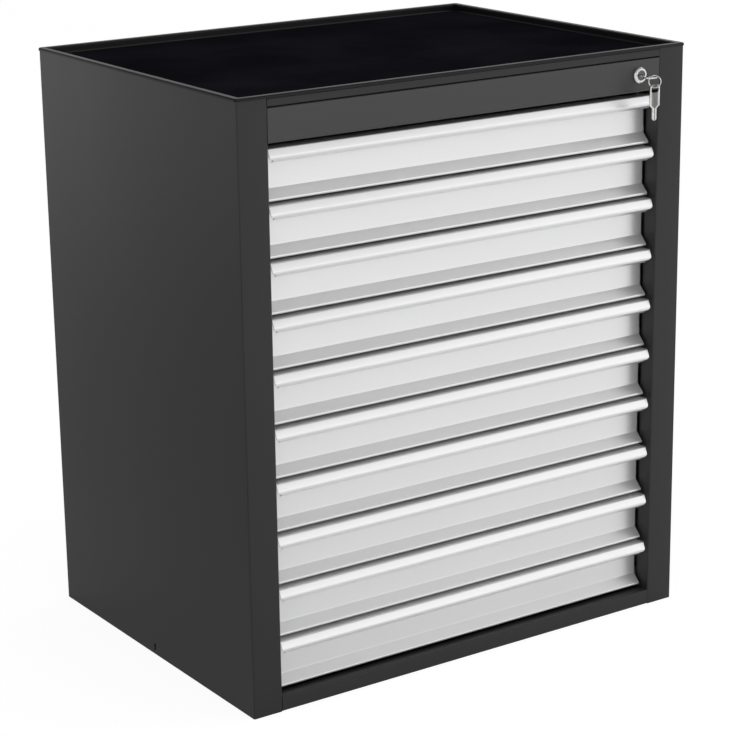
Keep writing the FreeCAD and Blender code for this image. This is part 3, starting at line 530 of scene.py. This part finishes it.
def floor_finish():
    """Matt white floor, seen as part white light and part lit paint.

    Share of white light = the white share for the camera and through glass. In a mirrored view
    it is multiplied by 0 to 0.97 with the distance from a painted shadow spot, behind on the left,
    which is painted shadow. What the floor itself lights gets the lit paint alone.
    """
    finish = bpy.data.materials.new("floor_white")
    finish.use_nodes = True
    nodes, join = finish.node_tree.nodes, finish.node_tree.links.new
    shader = nodes["Principled BSDF"]
    shader.inputs["Base Color"].default_value = (0.86, 0.86, 0.86, 1.0)
    shader.inputs["Roughness"].default_value = 0.9
    shader.inputs["Specular IOR Level"].default_value = 0.1
    glow = nodes.new("ShaderNodeEmission")
    glow.inputs["Color"].default_value = (1.0, 1.0, 1.0, 1.0)
    glow.inputs["Strength"].default_value = 1.2
    ray = nodes.new("ShaderNodeLightPath")
    place = nodes.new("ShaderNodeTexCoord")
    shade = nodes.new("ShaderNodeMapping")
    shade.inputs["Location"].default_value = tuple(-c for c in PAINTED_SHADOW_SPOT)
    away = nodes.new("ShaderNodeVectorMath")
    away.operation = "LENGTH"
    # Painted shadow: mirrored white fades out towards the spot.
    open_floor = nodes.new("ShaderNodeMapRange")
    open_floor.inputs["From Min"].default_value = 0.8
    open_floor.inputs["From Max"].default_value = 3.6
    open_floor.inputs["To Min"].default_value = 0.0
    open_floor.inputs["To Max"].default_value = 0.97
    join(place.outputs["Object"], shade.inputs["Vector"])
    join(shade.outputs[0], away.inputs[0])
    join(away.outputs["Value"], open_floor.inputs["Value"])
    straight = nodes.new("ShaderNodeMath")
    straight.operation = "MAXIMUM"
    mirrored = nodes.new("ShaderNodeMath")
    mirrored.operation = "MULTIPLY_ADD"
    join(open_floor.outputs[0], mirrored.inputs[1])
    seen = nodes.new("ShaderNodeMath")
    seen.operation = "MULTIPLY"
    seen.inputs[1].default_value = WHITE_SHARE
    mix = nodes.new("ShaderNodeMixShader")
    join(ray.outputs["Is Glossy Ray"], mirrored.inputs[0])
    join(ray.outputs["Is Camera Ray"], straight.inputs[0])
    join(ray.outputs["Is Transmission Ray"], straight.inputs[1])
    join(straight.outputs[0], mirrored.inputs[2])
    join(mirrored.outputs[0], seen.inputs[0])
    join(seen.outputs[0], mix.inputs["Fac"])
    join(shader.outputs[0], mix.inputs[1])
    join(glow.outputs[0], mix.inputs[2])
    join(mix.outputs[0], nodes["Material Output"].inputs["Surface"])
    return finish


floor = floor_surface()
floor.data.materials.append(floor_finish())


# ---------------------------------------------------------------- light and camera
# Plain soft studio light: a white room, bright low down and in front on the right, and
# duller above and behind, with a broad light overhead and a wide one from the right. The
# camera's place, angles and focal length in picture pixels are fitted to the photograph.
WALL_LOW, WALL_HIGH = (0.28, 1.00), (0.84, 0.30)
WALL_BETWEEN = ((0.36, 0.92), (0.42, 0.45), (0.72, 0.38))
BRIGHT_SIDE = (0.55, -0.83, 0.0)
DULL_STRENGTH, BRIGHT_STRENGTH = 0.36, 1.40


def studio_room():
    """A white studio, plain white to the camera and graded in what it lights.

    Light from a direction = the wall level at that height, times the dull to the bright strength
    with how nearly the direction points to the bright side. The camera sees white, also through
    glass.
    """
    room = bpy.data.worlds.new("studio")
    room.use_nodes = True
    nodes, join = room.node_tree.nodes, room.node_tree.links.new
    light_back = nodes["Background"]
    seen_back = nodes.new("ShaderNodeBackground")
    seen_back.inputs["Color"].default_value = (1.0, 1.0, 1.0, 1.0)
    seen_back.inputs["Strength"].default_value = 1.0
    heading = nodes.new("ShaderNodeTexCoord")
    height = nodes.new("ShaderNodeSeparateXYZ")
    wall = nodes.new("ShaderNodeValToRGB")
    for step, (position, level) in zip(wall.color_ramp.elements, (WALL_LOW, WALL_HIGH)):
        step.position = position
        step.color = (level, level, level, 1.0)
    for position, level in WALL_BETWEEN:
        step = wall.color_ramp.elements.new(position)
        step.color = (level, level, level, 1.0)
    facing = nodes.new("ShaderNodeVectorMath")
    facing.operation = "DOT_PRODUCT"
    facing.inputs[1].default_value = BRIGHT_SIDE
    side = nodes.new("ShaderNodeMapRange")
    side.inputs["From Min"].default_value = -1.0
    side.inputs["To Min"].default_value = DULL_STRENGTH
    side.inputs["To Max"].default_value = BRIGHT_STRENGTH
    join(heading.outputs["Generated"], height.inputs["Vector"])
    join(height.outputs["Z"], wall.inputs["Fac"])
    join(wall.outputs["Color"], light_back.inputs["Color"])
    join(heading.outputs["Generated"], facing.inputs[0])
    join(facing.outputs["Value"], side.inputs["Value"])
    join(side.outputs[0], light_back.inputs["Strength"])
    ray = nodes.new("ShaderNodeLightPath")
    straight = nodes.new("ShaderNodeMath")
    straight.operation = "MAXIMUM"
    mix = nodes.new("ShaderNodeMixShader")
    join(ray.outputs["Is Camera Ray"], straight.inputs[0])
    join(ray.outputs["Is Transmission Ray"], straight.inputs[1])
    join(straight.outputs[0], mix.inputs["Fac"])
    join(light_back.outputs[0], mix.inputs[1])
    join(seen_back.outputs[0], mix.inputs[2])
    join(mix.outputs[0], nodes["World Output"].inputs["Surface"])
    return room


scene = bpy.context.scene
scene.view_settings.view_transform = "Standard"
scene.world = studio_room()


def soft_light(name, place, aim, size, watts):
    """A rectangular area light that looks at a point and doesn't show itself."""
    lamp = bpy.data.lights.new(name, "AREA")
    lamp.shape = "RECTANGLE"
    lamp.size, lamp.size_y = size
    lamp.energy = watts
    holder = bpy.data.objects.new(name, lamp)
    toward = Vector(aim) - Vector(place)
    turn = toward.to_track_quat("-Z", "Y").to_matrix().to_4x4()
    holder.matrix_world = Matrix.Translation(Vector(place)) @ turn
    holder.visible_camera = False
    scene.collection.objects.link(holder)


soft_light("overhead", place=(-0.3, -0.2, 3.6), aim=(0.0, 0.0, 0.4), size=(2.0, 2.0), watts=18.0)
soft_light("right_wall", place=(3.1, -1.4, 2.5), aim=(0.0, -0.2, 0.4), size=(4.2, 2.4), watts=9.5)

PICTURE_WIDTH = 736.0
FOCAL_LENGTH = 2312.83
SENSOR_WIDTH = 36.0
CAMERA_PLACE = (-1.78643, -2.65271, 1.30349)
CAMERA_AZIMUTH = math.radians(-34.0545)
CAMERA_ELEVATION = math.radians(16.53483)
CAMERA_ROLL = math.radians(-0.80068)
camera_data = bpy.data.cameras.new("camera")
camera_data.sensor_width = SENSOR_WIDTH
camera_data.lens = FOCAL_LENGTH / PICTURE_WIDTH * SENSOR_WIDTH
camera = bpy.data.objects.new("camera", camera_data)
scene.collection.objects.link(camera)
towards_camera = Vector(
    (
        math.sin(CAMERA_AZIMUTH) * math.cos(CAMERA_ELEVATION),
        -math.cos(CAMERA_AZIMUTH) * math.cos(CAMERA_ELEVATION),
        math.sin(CAMERA_ELEVATION),
    )
)
right = Vector((math.cos(CAMERA_AZIMUTH), math.sin(CAMERA_AZIMUTH), 0.0))
upward = towards_camera.cross(right)
turned_right = right * math.cos(CAMERA_ROLL) + upward * math.sin(CAMERA_ROLL)
turned_up = upward * math.cos(CAMERA_ROLL) - right * math.sin(CAMERA_ROLL)
axes = Matrix((turned_right, turned_up, towards_camera)).transposed().to_4x4()
camera.matrix_world = Matrix.Translation(Vector(CAMERA_PLACE)) @ axes
scene.camera = camera
